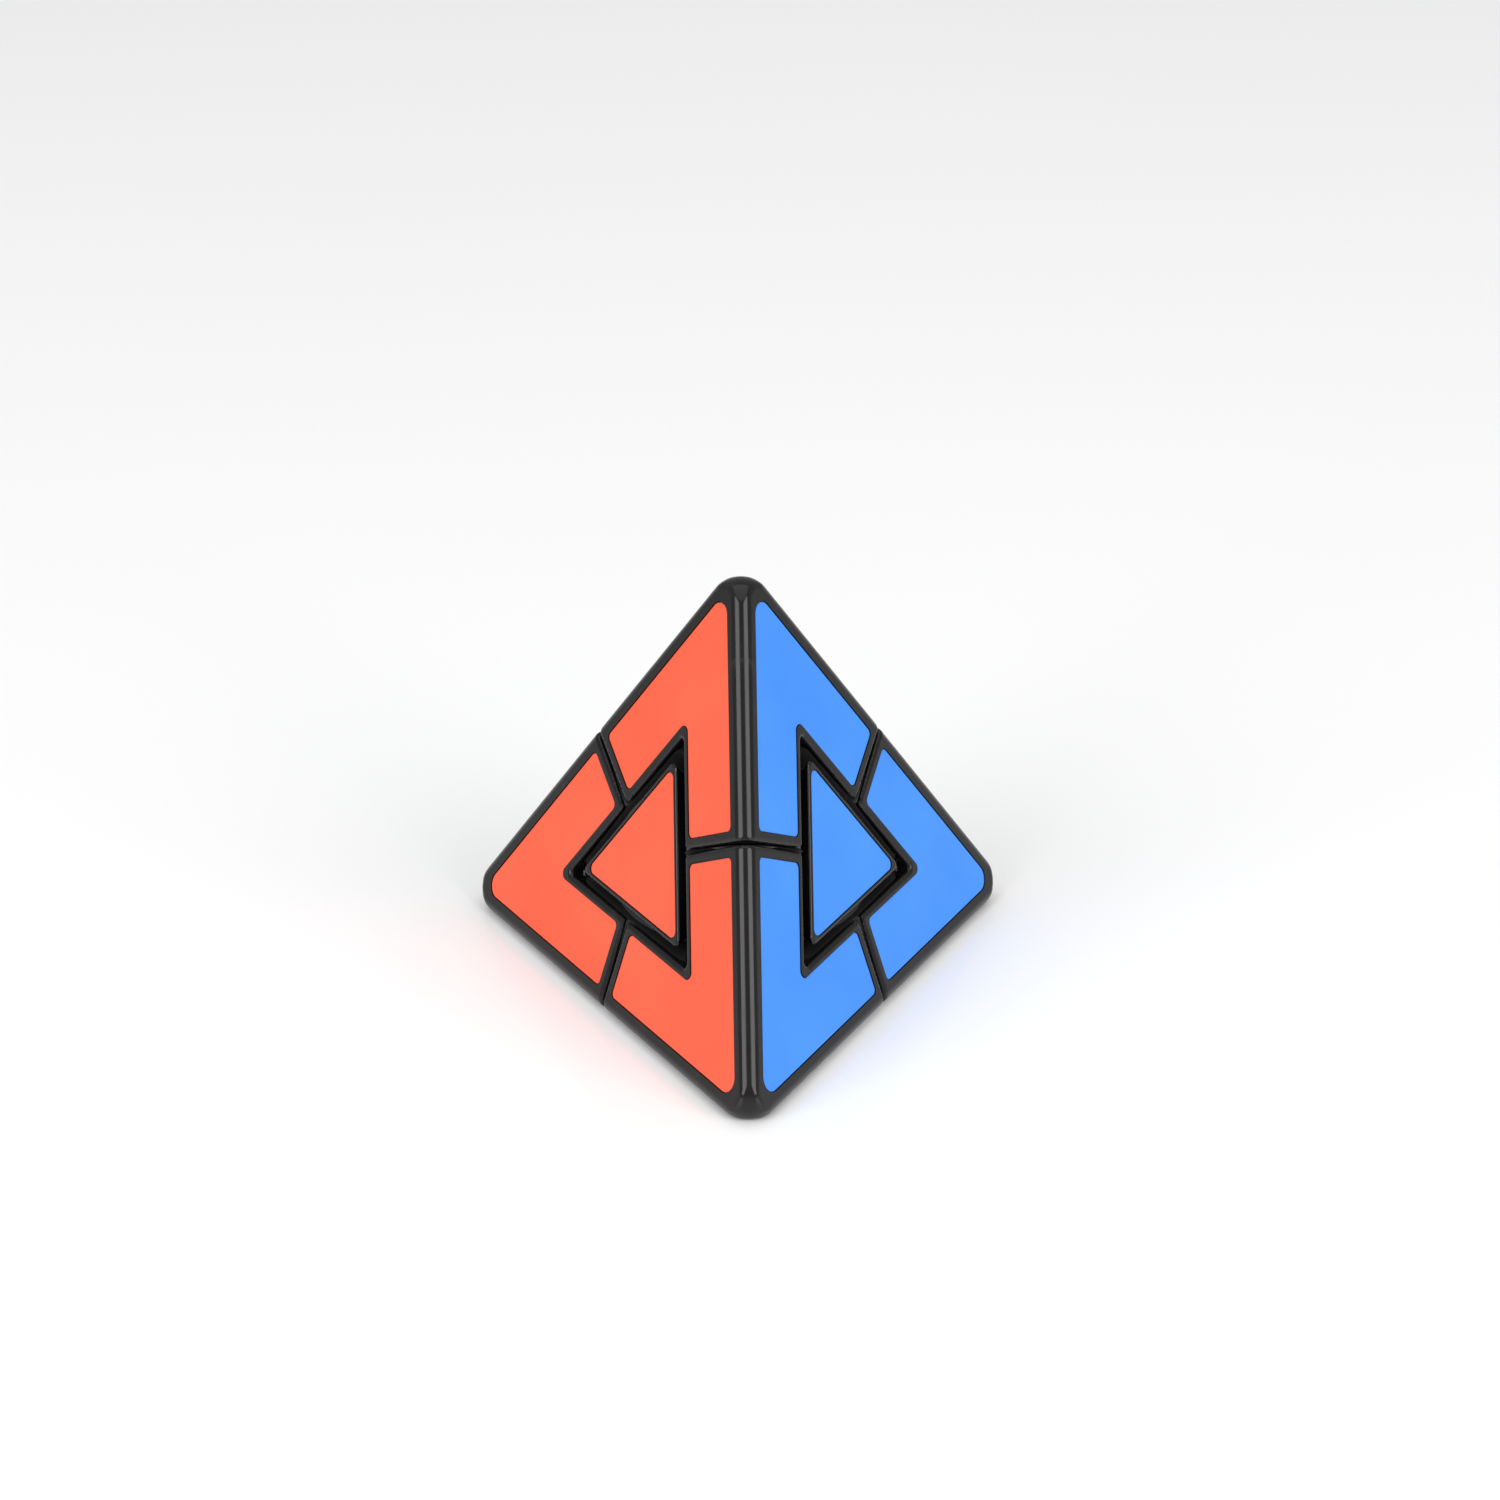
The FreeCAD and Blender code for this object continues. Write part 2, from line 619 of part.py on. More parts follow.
spring = turned("spring", spring_sweep, Rotation(), Vector(0, 0, size("well_floor") + size("spring_wire")))

# ---------------------------------------------------------------- the sub-parts, in the row's frame

STANDING = Vector(0, 0, FACE_LEVEL)
subparts = []


def place(label, source, rotation=Rotation()):
    """Adds a sub-part: a copy of a piece turned onto its own axis and stood on the base."""
    item = turned(label, source, rotation, STANDING)
    item.Label = label
    subparts.append(item)


def images(rotation, *names):
    """Where a turn of the tetrahedron takes the named corners."""
    return [nearest_corner(rotation.multVec(AXES[name])) for name in names]


ALL_TURNS = [swap_with_top(corner).multiply(about_top(step)) for corner in CORNERS for step in range(3)]

place("core", core)
for corner in CORNERS:
    own_turn = swap_with_top(corner)
    face = FACE_OPPOSITE[corner]
    place(f"corner_shell_{corner}", corner_shell, own_turn)
    place(f"corner_stem_{corner}", corner_stem, own_turn)
    place(f"screw_{corner}", screw, own_turn)
    place(f"washer_{corner}", washer, own_turn)
    place(f"spring_{corner}", spring, own_turn)
    place(f"centre_cap_{face}", centre_cap, own_turn)
    place(f"centre_foot_{face}", centre_foot, own_turn)

centre_plate = on_face("centre_plate", centre_sticker, "front", "top")
for corner in CORNERS:
    place(f"sticker_centre_{FACE_OPPOSITE[corner]}", centre_plate, swap_with_top(corner))

corner_plate = on_face("corner_plate", corner_sticker, "top", "right")
placed_edges = set()
for rotation in ALL_TURNS:
    corner, opposite, second = images(rotation, "top", "right", "front")
    place(f"sticker_{corner}_on_{FACE_OPPOSITE[opposite]}", corner_plate, rotation)
    edge = frozenset((corner, second))
    if edge not in placed_edges:
        placed_edges.add(edge)
        place(f"slider_{corner}_{second}", slider_block, rotation)

doc.recompute()
faults = []
for item in doc.Objects:
    if "Invalid" in item.State or "Error" in item.State:
        faults.append(f"{item.Label} is {item.State}")
for item in subparts:
    if item.Shape.isNull() or not item.Shape.isValid() or len(item.Shape.Solids) != 1:
        faults.append(f"{item.Label} has no single valid solid")
if faults:
    raise RuntimeError("; ".join(faults))

os.makedirs("parts", exist_ok=True)
for item in subparts:
    item.Shape.exportStep(f"parts/{item.Label}.step")
print(f"{len(subparts)} sub-parts written")
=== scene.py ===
import itertools
import json
import math

import bmesh
import bpy
import numpy as np
from mathutils import Matrix, Vector


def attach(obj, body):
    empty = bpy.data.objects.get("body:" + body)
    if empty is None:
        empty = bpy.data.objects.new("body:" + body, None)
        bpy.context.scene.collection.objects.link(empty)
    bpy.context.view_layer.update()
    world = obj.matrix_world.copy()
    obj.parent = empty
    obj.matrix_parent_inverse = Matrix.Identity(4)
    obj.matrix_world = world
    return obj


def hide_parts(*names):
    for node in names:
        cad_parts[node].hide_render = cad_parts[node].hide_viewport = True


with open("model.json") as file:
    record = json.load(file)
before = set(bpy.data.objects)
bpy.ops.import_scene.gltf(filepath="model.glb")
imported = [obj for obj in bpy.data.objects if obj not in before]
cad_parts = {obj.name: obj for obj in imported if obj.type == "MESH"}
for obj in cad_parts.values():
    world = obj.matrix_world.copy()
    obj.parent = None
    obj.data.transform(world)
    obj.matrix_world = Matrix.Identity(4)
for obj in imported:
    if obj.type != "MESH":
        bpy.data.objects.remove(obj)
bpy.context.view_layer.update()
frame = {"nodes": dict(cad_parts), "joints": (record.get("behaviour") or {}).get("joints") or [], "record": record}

nodes = frame["nodes"]

# ---------------------------------------------------------------- frame of the puzzle
# The pieces are made in millimetres round the core's centre, for the top corner, and
# then turned onto the other corners and stood in the row's frame.

MM = 0.001
FACE_LEVEL = frame["joints"][0]["pos_m"][2] / MM
TIP_LEVEL = 3.0 * FACE_LEVEL
EDGE = FACE_LEVEL * 12.0 / math.sqrt(6.0)
FACE_INRADIUS = EDGE / (2.0 * math.sqrt(3.0))
FACE_RISE = 2.0 * math.sqrt(2.0) / 3.0
FACE_SLOPE = 1.0 / (2.0 * math.sqrt(2.0))
FACE_CENTRE_LEVEL = math.sqrt(6.0) / 36.0 * EDGE
CORE = Vector((0, 0, FACE_LEVEL)) * MM

EDGE_ROUND = 2.2
TIP_BALL = 5.75
TIP_DROP = 7.02
TIP_TAPER = math.radians(38.0)
TIP_BLEND = 2.4
CAP_INRADIUS = 10.1
CAP_GAP = 0.5
HOLE_INRADIUS = 12.0
HOLE_DEPTH = 3.0
SEAM_IN = -0.12
SEAM_OUT = 0.20
NECK_SUM = 18.5
LIP = 0.85
CAP_LIP = 0.65
SEAM_CORNER = 1.7
NOTCH_CORNER = 0.8
CAP_CORNER = 1.3
FOOT_ROOM = 17.4
CAP_SPLIT = 19.2
WALL = 2.2
STEM_ROOM = ((15.5, 18.0), (9.8, 23.5), (6.8, 30.0))
STICKER_MARGIN = 4.45
STICKER_NOTCH = 13.55
STICKER_SEAM = 2.3
STICKER_CENTRE = 9.0
STICKER_THICKNESS = 0.3
STICKER_RECESS = 0.14
STICKER_PLAY = 0.13
STICKER_BEVEL = 0.07
STICKER_FLAT = 0.35
STICKER_TIP_ROUND = 2.5
STICKER_ROUND = 1.0
STICKER_NOTCH_ROUND = 1.3
STICKER_CENTRE_ROUND = 1.2
OUTLINE_STEPS = 8
RIM_ROUND = 0.5
NECK_GAP = 0.23
INNER_ROUND = 0.3
FAR = 1e9
GRID = 0.42
FLAT_ANGLE = math.radians(0.1)
NORMAL_ANGLE = math.radians(24.0)
NORMAL_REACH = 0.02


def lower_axis(azimuth):
    """Unit vector of a lower corner's axis."""
    angle = math.radians(azimuth)
    return (FACE_RISE * math.cos(angle), FACE_RISE * math.sin(angle), -1.0 / 3.0)


AXES = {
    "top": np.array((0.0, 0.0, 1.0)),
    "front": np.array(lower_axis(-90)),
    "right": np.array(lower_axis(30)),
    "left": np.array(lower_axis(150)),
}
CORNERS = tuple(AXES)
LOWER = CORNERS[1:]
FACE_OPPOSITE = {"top": "base", "front": "back", "left": "right", "right": "left"}


def swap_with_top(corner):
    """Half turn that swaps the top corner with another one."""
    if corner == "top":
        return Matrix.Identity(4)
    return Matrix.Rotation(math.pi, 4, Vector(AXES["top"] + AXES[corner]).normalized())


def about_top(step):
    """Turn about the top corner's axis by a number of thirds."""
    return Matrix.Rotation(math.radians(120 * step), 4, "Z")


def image_of(turn, corner):
    """Corner that a turn takes a corner to."""
    direction = np.array(turn.to_3x3() @ Vector(AXES[corner]))
    return max(CORNERS, key=lambda name: float(AXES[name] @ direction))


# ---------------------------------------------------------------- layer surface as a table

def face_distance(level):
    """Turning axis to a side face at a level."""
    return FACE_SLOPE * (TIP_LEVEL - level)


def side_radius(level, inradius):
    """Radius at which a triangle of a side face is met at a level."""
    height = (level - FACE_CENTRE_LEVEL) / FACE_RISE
    return math.hypot((2.0 * inradius - height) / math.sqrt(3.0), face_distance(level))


def seam_radius(level, offset):
    """Radius of the seam in a side face at a level, moved out by an offset."""
    height = (level - FACE_CENTRE_LEVEL) / FACE_RISE
    radius = math.hypot(math.sqrt(3.0) * height, face_distance(level))
    slope = (3.0 * height / FACE_RISE - FACE_SLOPE * face_distance(level)) / radius
    return radius + offset * math.hypot(1.0, slope)


def waist_level(inradius, offset):
    """Level at which the side of the triangle meets the seam."""
    low, high = FACE_CENTRE_LEVEL, FACE_LEVEL
    for _ in range(50):
        middle = (low + high) / 2.0
        if side_radius(middle, inradius) > seam_radius(middle, offset):
            low = middle
        else:
            high = middle
    return (low + high) / 2.0


def rounded_corner(before, corner, after, radius, count=7):
    """Points of an arc that rounds a corner of a profile."""
    back = (before - corner) / np.linalg.norm(before - corner)
    ahead = (after - corner) / np.linalg.norm(after - corner)
    half = math.acos(float(np.clip(back @ ahead, -1, 1))) / 2.0
    reach = radius / math.tan(half)
    centre = corner + (back + ahead) / np.linalg.norm(back + ahead) * radius / math.sin(half)
    first = corner + back * reach - centre
    last = corner + ahead * reach - centre
    points = []
    for share in np.linspace(0, 1, count):
        ray = first * (1 - share) + last * share
        points.append(centre + ray / np.linalg.norm(ray) * radius)
    return reach, points


PROFILE_STEPS = 40
PROFILE_BEYOND = 40.0


def layer_profile(inradius, offset, rim_round, waist_round):
    """Open line, radius against level, that bounds what turns with a corner."""
    neck_sum = NECK_SUM - math.sqrt(2.0) * offset
    rim = FACE_CENTRE_LEVEL - FACE_RISE * inradius
    waist = waist_level(inradius, offset)
    rim_start = np.array((neck_sum - rim, rim))
    rim_end = np.array((side_radius(rim, inradius), rim))
    bend = np.array((seam_radius(waist, offset), waist))
    side_levels = np.linspace(rim, waist, PROFILE_STEPS)
    seam_levels = np.linspace(waist, FACE_LEVEL, PROFILE_STEPS)
    side = [np.array((side_radius(level, inradius), level)) for level in side_levels]
    seam = [np.array((seam_radius(level, offset), level)) for level in seam_levels]
    beyond = seam[-1] + np.array((math.sqrt(2.0), 1.0)) * PROFILE_BEYOND
    rim_reach, rim_arc = rounded_corner(rim_start, rim_end, side[4], rim_round)
    bend_reach, bend_arc = rounded_corner(side[-5], bend, seam[4], waist_round)
    line = [np.array((0.0, neck_sum)), rim_start] + rim_arc
    clear_of_rim = [p for p in side if np.linalg.norm(p - rim_end) > rim_reach]
    line += [p for p in clear_of_rim if np.linalg.norm(p - bend) > bend_reach]
    line += bend_arc
    line += [p for p in seam[:-1] if np.linalg.norm(p - bend) > bend_reach]
    line += [seam[-1], beyond]
    return np.array(line)


TABLE_STEP = 0.2
TABLE_RADIUS = np.arange(0, 66.0, TABLE_STEP)
TABLE_LEVEL = np.arange(-32.0, 64.0, TABLE_STEP)
TABLE_TOP = 90.0
TABLE_MARGIN = 5.0


def profile_table(line):
    """Signed distance to the profile, negative on the turning side, on a regular table."""
    radius, level = np.meshgrid(TABLE_RADIUS, TABLE_LEVEL, indexing="ij")
    points = np.stack([radius.ravel(), level.ravel()], -1)
    best = np.full(len(points), FAR)
    crossings = np.zeros(len(points), dtype=int)
    for start, end in zip(line[:-1], line[1:]):
        run = end - start
        share = np.clip(((points - start) @ run) / (run @ run), 0, 1)
        best = np.minimum(best, np.linalg.norm(points - start - share[:, None] * run, axis=1))
    closed = np.vstack([
        line,
        [(line[-1][0], TABLE_TOP)],
        [(-TABLE_MARGIN, TABLE_TOP)],
        [(-TABLE_MARGIN, line[0][1] + TABLE_MARGIN)],
    ])
    for start, end in zip(closed, np.roll(closed, -1, axis=0)):
        if start[1] == end[1]:
            continue
        between = (start[1] > points[:, 1]) != (end[1] > points[:, 1])
        at = start[0] + (points[:, 1] - start[1]) / (end[1] - start[1]) * (end[0] - start[0])
        crossings += between & (points[:, 0] < at)
    sign = np.where(crossings % 2 == 1, -1.0, 1.0)
    return (best * sign).reshape(radius.shape)


def looked_up(table, radius, level):
    """Bilinear value of a profile table."""
    x = np.clip(radius / TABLE_STEP, 0, len(TABLE_RADIUS) - 1.001)
    y = np.clip((level - TABLE_LEVEL[0]) / TABLE_STEP, 0, len(TABLE_LEVEL) - 1.001)
    i, j = x.astype(int), y.astype(int)
    u, v = x - i, y - j
    low = table[i, j] * (1 - v) + table[i, j + 1] * v
    high = table[i + 1, j] * (1 - v) + table[i + 1, j + 1] * v
    return low * (1 - u) + high * u


def layer_distance(table, corner, points):
    """Signed distance to the surface that bounds a corner's layer."""
    level = points @ AXES[corner]
    across = points - level[:, None] * AXES[corner]
    return looked_up(table, np.linalg.norm(across, axis=1), level)


# ---------------------------------------------------------------- distances to the solids

def gradient_of(field, points, step=1e-3):
    """Numeric gradient of a field."""
    slopes = []
    for axis in range(3):
        shift = np.zeros(3)
        shift[axis] = step
        slopes.append((field(points + shift) - field(points - shift)) / (2 * step))
    return np.stack(slopes, -1)


# The faces' normals lean on each other with a cosine of -1/3.
GRAM = np.full((3, 3), -1.0 / 3.0) + np.eye(3) * 4.0 / 3.0
PAIR = 8.0 / 9.0
GRAM_INVERSE = np.linalg.inv(GRAM)


def rounded_trihedral(planes, radius):
    """Distance to the corner of three faces of a tetrahedron, rounded with a radius."""
    a = planes + np.reshape(radius, (1, -1))
    distance = a.max(axis=0)
    for i, j in ((0, 1), (1, 2), (2, 0)):
        alpha = (a[i] + a[j] / 3.0) / PAIR
        beta = (a[j] + a[i] / 3.0) / PAIR
        length = np.sqrt(np.maximum(alpha * a[i] + beta * a[j], 0))
        distance = np.where((alpha > 0) & (beta > 0), np.maximum(distance, length), distance)
    parts = GRAM_INVERSE @ a
    length = np.sqrt(np.maximum((parts * a).sum(axis=0), 0))
    distance = np.where((parts > 0).all(axis=0), np.maximum(distance, length), distance)
    return distance - np.reshape(radius, -1)


def round_both(a, b, radius):
    """Inside both, with the edge between them rounded."""
    u, v = np.maximum(a + radius, 0), np.maximum(b + radius, 0)
    return np.minimum(np.maximum(a, b), -radius) + np.hypot(u, v)


table_in = profile_table(layer_profile(CAP_INRADIUS, SEAM_IN, RIM_ROUND, SEAM_CORNER))
table_out = profile_table(
    layer_profile(CAP_INRADIUS + CAP_GAP, SEAM_OUT, NOTCH_CORNER, SEAM_CORNER)
)


def outer_planes(points):
    """Distances to the three faces round the top corner."""
    return np.stack([-(points @ AXES[name]) - FACE_LEVEL for name in LOWER])


def soft_tip_distance(points):
    """Ball and taper that round the top tip."""
    across = np.hypot(points[:, 0], points[:, 1])
    rise = points[:, 2] - (TIP_LEVEL - TIP_DROP - TIP_BALL)
    taper = across * math.cos(TIP_TAPER) + rise * math.sin(TIP_TAPER)
    on_ball = across * math.sin(TIP_TAPER) < rise * math.cos(TIP_TAPER)
    return np.where(on_ball, np.hypot(across, rise), taper) - TIP_BALL


def edged_distance(points):
    """Faces round the top corner with their edges rounded."""
    return rounded_trihedral(outer_planes(points), EDGE_ROUND)


def body_distance(points):
    """Faces and edges round the top corner, rolled softly into its tip."""
    edged = edged_distance(points)
    near = points[:, 2] > TIP_LEVEL - 4.0 * TIP_DROP
    if not near.any():
        return edged
    local = points[near]
    a = edged[near] + TIP_BLEND
    b = soft_tip_distance(local) + TIP_BLEND
    slope_a = gradient_of(edged_distance, local)
    slope_b = gradient_of(soft_tip_distance, local)
    cosine = np.clip((slope_a * slope_b).sum(axis=1), -0.5, 0.999)
    squared = np.maximum(a * a + b * b - 2.0 * a * b * cosine, 0)
    rolled = np.sqrt(squared / (1.0 - cosine * cosine))
    outer = np.maximum(a, b)
    between = (a > b * cosine) & (b > a * cosine) & (outer > 0)
    edged[near] = np.where(between, np.maximum(rolled, outer), outer) - TIP_BLEND
    return edged


def opening_distance(points, opposite):
    """Triangular opening in the face opposite a corner."""
    outward = -AXES[opposite]
    depth = points @ outward - FACE_LEVEL
    flat = points - (points @ outward)[:, None] * outward
    sides = []
    for name in CORNERS:
        if name != opposite:
            up = AXES[name] - (AXES[name] @ outward) * outward
            sides.append(-(flat @ (up / np.linalg.norm(up))) - HOLE_INRADIUS)
    inset = np.stack(sides) + NOTCH_CORNER
    distance = inset.max(axis=0)
    for i, j in ((0, 1), (1, 2), (2, 0)):
        a, b = inset[i], inset[j]
        corner = np.sqrt(np.maximum(a * a + b * b + a * b, 0) / 0.75)
        beside = (a > -0.5 * b) & (b > -0.5 * a)
        distance = np.where(beside, np.maximum(distance, corner), distance)
    return np.maximum(distance - NOTCH_CORNER, -depth - HOLE_DEPTH)


def shell_distance(points):
    """Corner shell of the top corner."""
    planes = outer_planes(points)
    body = body_distance(points)
    walls = layer_distance(table_in, "top", points)
    for name in LOWER:
        walls = np.maximum(walls, -layer_distance(table_out, name, points))
        walls = np.maximum(walls, -opening_distance(points, name))
    from_core = np.linalg.norm(points, axis=1)
    solid = round_both(body, walls, LIP)
    solid = round_both(solid, FOOT_ROOM - from_core, INNER_ROUND)
    across = np.hypot(points[:, 0], points[:, 1])
    stem = np.full(len(points), FAR)
    for radius_limit, top in STEM_ROOM:
        stem = np.minimum(stem, np.maximum(across - radius_limit, points[:, 2] - top))
    cavity = np.maximum(planes.max(axis=0), walls) + WALL
    cavity = np.maximum(cavity, FOOT_ROOM + WALL - from_core)
    cavity = np.maximum(cavity, points[:, 2] - (TIP_LEVEL - TIP_DROP - WALL))
    solid = np.maximum(solid, -stem)
    return np.maximum(solid, -cavity)


def cap_distance(points):
    """Centre cap of the base face."""
    side_level = FACE_CENTRE_LEVEL - CAP_INRADIUS * FACE_RISE
    levels = np.stack([points @ AXES[name] for name in LOWER])
    sides = rounded_trihedral(side_level - levels, CAP_CORNER)
    necks = np.full(len(points), -FAR)
    for name, level in zip(LOWER, levels):
        across = np.linalg.norm(points - level[:, None] * AXES[name], axis=1)
        necks = np.maximum(necks, (NECK_SUM + NECK_GAP - level - across) / math.sqrt(2.0))
    solid = round_both(-points[:, 2] - FACE_LEVEL, sides, CAP_LIP)
    solid = round_both(solid, necks, INNER_ROUND)
    return np.maximum(solid, CAP_SPLIT - np.linalg.norm(points, axis=1))


# ---------------------------------------------------------------- meshing

def surface_net(field, low, high, step):
    """Vertices and quads of a closed surface where the field is zero."""
    axes = [np.arange(lo, hi + step, step) for lo, hi in zip(low, high)]
    counts = [len(axis) for axis in axes]
    values = np.empty(counts)
    for index, x in enumerate(axes[0]):
        y, z = np.meshgrid(axes[1], axes[2], indexing="ij")
        sheet = np.stack([np.full(y.size, x), y.ravel(), z.ravel()], -1)
        values[index] = field(sheet).reshape(y.shape)
    inside = values < 0
    cells = [count - 1 for count in counts]
    total = np.zeros(cells + [3])
    hits = np.zeros(cells)
    edges = []
    for axis in range(3):
        here = [slice(None)] * 3
        there = [slice(None)] * 3
        here[axis] = slice(0, -1)
        there[axis] = slice(1, None)
        first, second = values[tuple(here)], values[tuple(there)]
        cross = (first < 0) != (second < 0)
        at = np.argwhere(cross)
        share = first[cross] / (first[cross] - second[cross])
        place = at.astype(float)
        place[:, axis] += share
        edges.append((axis, at, first[cross] < 0))
        others = [other for other in range(3) if other != axis]
        for da, db in itertools.product((0, 1), (0, 1)):
            cell = at.copy()
            cell[:, others[0]] -= da
            cell[:, others[1]] -= db
            good = (cell >= 0).all(axis=1) & (cell < np.array(cells)).all(axis=1)
            key = tuple(cell[good].T)
            np.add.at(total, key, place[good])
            np.add.at(hits, key, 1)
    used = hits > 0
    number = np.full(cells, -1)
    number[used] = np.arange(used.sum())
    vertices = total[used] / hits[used][:, None] * step + np.array([axis[0] for axis in axes])
    quads = []
    for axis, at, starts_inside in edges:
        a, b = [(1, 2), (2, 0), (0, 1)][axis]
        corners = []
        for da, db in ((0, 0), (1, 0), (1, 1), (0, 1)):
            cell = at.copy()
            cell[:, a] -= da
            cell[:, b] -= db
            corners.append(number[tuple(cell.T)])
        quad = np.stack(corners, -1)
        quad[~starts_inside] = quad[~starts_inside][:, ::-1]
        quads.append(quad)
    for _ in range(3):
        slope = gradient_of(field, vertices)
        size = np.maximum((slope * slope).sum(axis=1), 0.25)
        move = slope * (field(vertices) / size)[:, None]
        length = np.linalg.norm(move, axis=1)[:, None]
        vertices = vertices - move * np.minimum(1, 0.5 * step / np.maximum(length, 1e-9))
    return vertices, np.concatenate(quads)


def mesh_from(name, vertices, faces):
    """Blender mesh of quads."""
    mesh = bpy.data.meshes.new(name)
    mesh.vertices.add(len(vertices))
    mesh.vertices.foreach_set("co", np.asarray(vertices, dtype=np.float32).ravel())
    mesh.loops.add(faces.size)
    mesh.loops.foreach_set("vertex_index", faces.ravel().astype(np.int32))
    mesh.polygons.add(len(faces))
    starts = np.arange(0, faces.size, faces.shape[1], dtype=np.int32)
    mesh.polygons.foreach_set("loop_start", starts)
    mesh.update(calc_edges=True)
    mesh.validate()
    return mesh


def new_object(name, mesh):
    """Object of a mesh, in the scene."""
    item = bpy.data.objects.new(name, mesh)
    bpy.context.scene.collection.objects.link(item)
    return item


def applied(item):
    """Mesh of an object with its modifiers, as its only state."""
    graph = bpy.context.evaluated_depsgraph_get()
    mesh = bpy.data.meshes.new_from_object(item.evaluated_get(graph), depsgraph=graph)
    item.modifiers.clear()
    old = item.data
    item.data = mesh
    bpy.data.meshes.remove(old)
    return mesh


# ---------------------------------------------------------------- sticker outlines

def face_point(along_edge, outward):
    """Point in a face, from its centre."""
    across = math.sqrt(3.0) / 2.0 * outward - 0.5 * along_edge
    up = 0.5 * outward + math.sqrt(3.0) / 2.0 * along_edge
    return np.array((across, up))


def rounded_outline(points, radii):
    """Closed outline through the points with rounded corners."""
    outline = []
    for index, (point, radius) in enumerate(zip(points, radii)):
        before, after = points[index - 1], points[(index + 1) % len(points)]
        outline += rounded_corner(before, point, after, radius, OUTLINE_STEPS)[1]
    return np.array(outline)


def corner_outline():
    """Chevron of a corner sticker."""
    rim = FACE_INRADIUS - STICKER_MARGIN
    right = [np.array((0.0, 2.0 * rim)), face_point(STICKER_SEAM, rim)]
    right += [face_point(STICKER_SEAM, STICKER_NOTCH), np.array((0.0, 2.0 * STICKER_NOTCH))]
    left = [point * (-1, 1) for point in right[2:0:-1]]
    radii = [STICKER_TIP_ROUND, *[STICKER_ROUND] * 2, STICKER_NOTCH_ROUND, *[STICKER_ROUND] * 2]
    return rounded_outline(right + left, radii)[::-1]


def centre_outline():
    """Triangle of a centre sticker."""
    reach = 2.0 * STICKER_CENTRE
    angles = [math.radians(angle) for angle in (90, 210, 330)]
    points = [np.array((reach * math.cos(angle), reach * math.sin(angle))) for angle in angles]
    return rounded_outline(points, [STICKER_CENTRE_ROUND] * 3)


def moved_out(outline, distance):
    """Closed outline moved out along its own normals."""
    ahead = np.roll(outline, -1, axis=0) - outline
    behind = outline - np.roll(outline, 1, axis=0)
    ahead = ahead / np.linalg.norm(ahead, axis=1)[:, None]
    behind = behind / np.linalg.norm(behind, axis=1)[:, None]
    normals = np.stack([ahead[:, 1] + behind[:, 1], -ahead[:, 0] - behind[:, 0]], -1)
    size = np.linalg.norm(normals, axis=1)[:, None]
    normals = normals / size
    turn = np.clip((ahead * behind).sum(axis=1), -1, 1)
    stretch = 1.0 / np.sqrt((1 + turn) / 2)
    return outline + normals * (distance * stretch)[:, None]


def lofted(name, rings):
    """Closed solid through rings of points with equal counts, capped at both ends."""
    count = len(rings[0])
    bm = bmesh.new()
    loops = [[bm.verts.new(point) for point in ring] for ring in rings]
    for low, high in zip(loops, loops[1:]):
        for index in range(count):
            after = (index + 1) % count
            bm.faces.new((low[index], low[after], high[after], high[index]))
    bm.faces.new(loops[-1])
    bm.faces.new(loops[0][::-1])
    bmesh.ops.recalc_face_normals(bm, faces=bm.faces)
    mesh = bpy.data.meshes.new(name)
    bm.to_mesh(mesh)
    bm.free()
    return mesh


def ring_at(outline, inset, level):
    """Ring of an outline at a level of the face."""
    flat = moved_out(outline, -inset)
    return [(point[0], point[1], level) for point in flat]


def sticker_mesh(name, outline):
    """Sticker with softly rolled upper rim."""
    top = -STICKER_RECESS
    low = top - STICKER_THICKNESS
    bevel = STICKER_BEVEL
    rings = [
        ring_at(outline, 0.0, low),
        ring_at(outline, 0.0, top - bevel),
        ring_at(outline, bevel * 0.13, top - bevel * 0.5),
        ring_at(outline, bevel * 0.5, top - bevel * 0.13),
        ring_at(outline, bevel, top),
        ring_at(outline, bevel + STICKER_FLAT, top),
    ]
    return lofted(name, rings)


def recess_mesh(name, outline):
    """Solid that a sticker's recess takes away."""
    levels = (-STICKER_RECESS - STICKER_THICKNESS, 1.0)
    return lofted(name, [ring_at(outline, -STICKER_PLAY, level) for level in levels])


def on_face(corner, opposite):
    """Place of a face's drawing plane, its up towards a corner."""
    outward = Vector(AXES[opposite]) * -1.0
    centre = outward * FACE_LEVEL
    up = (Vector(AXES[corner]) * TIP_LEVEL - centre).normalized()
    across = up.cross(outward)
    place = Matrix((across, up, outward)).transposed().to_4x4()
    place.translation = centre
    return place


# ---------------------------------------------------------------- materials

def principled(name):
    """Empty material with its shader."""
    material = bpy.data.materials.new(name)
    material.use_nodes = True
    return material, material.node_tree, material.node_tree.nodes["Principled BSDF"]


def noise(tree, scale, detail, roughness, stretch=None, seed=0.0):
    """Noise in object space."""
    coordinates = tree.nodes.new("ShaderNodeTexCoord")
    mapping = tree.nodes.new("ShaderNodeMapping")
    mapping.inputs["Location"].default_value = (seed, seed * 0.37, seed * 0.71)
    if stretch:
        mapping.inputs["Scale"].default_value = stretch
    texture = tree.nodes.new("ShaderNodeTexNoise")
    texture.inputs["Scale"].default_value = scale
    texture.inputs["Detail"].default_value = detail
    texture.inputs["Roughness"].default_value = roughness
    tree.links.new(coordinates.outputs["Object"], mapping.inputs["Vector"])
    tree.links.new(mapping.outputs["Vector"], texture.inputs["Vector"])
    return texture.outputs["Fac"]


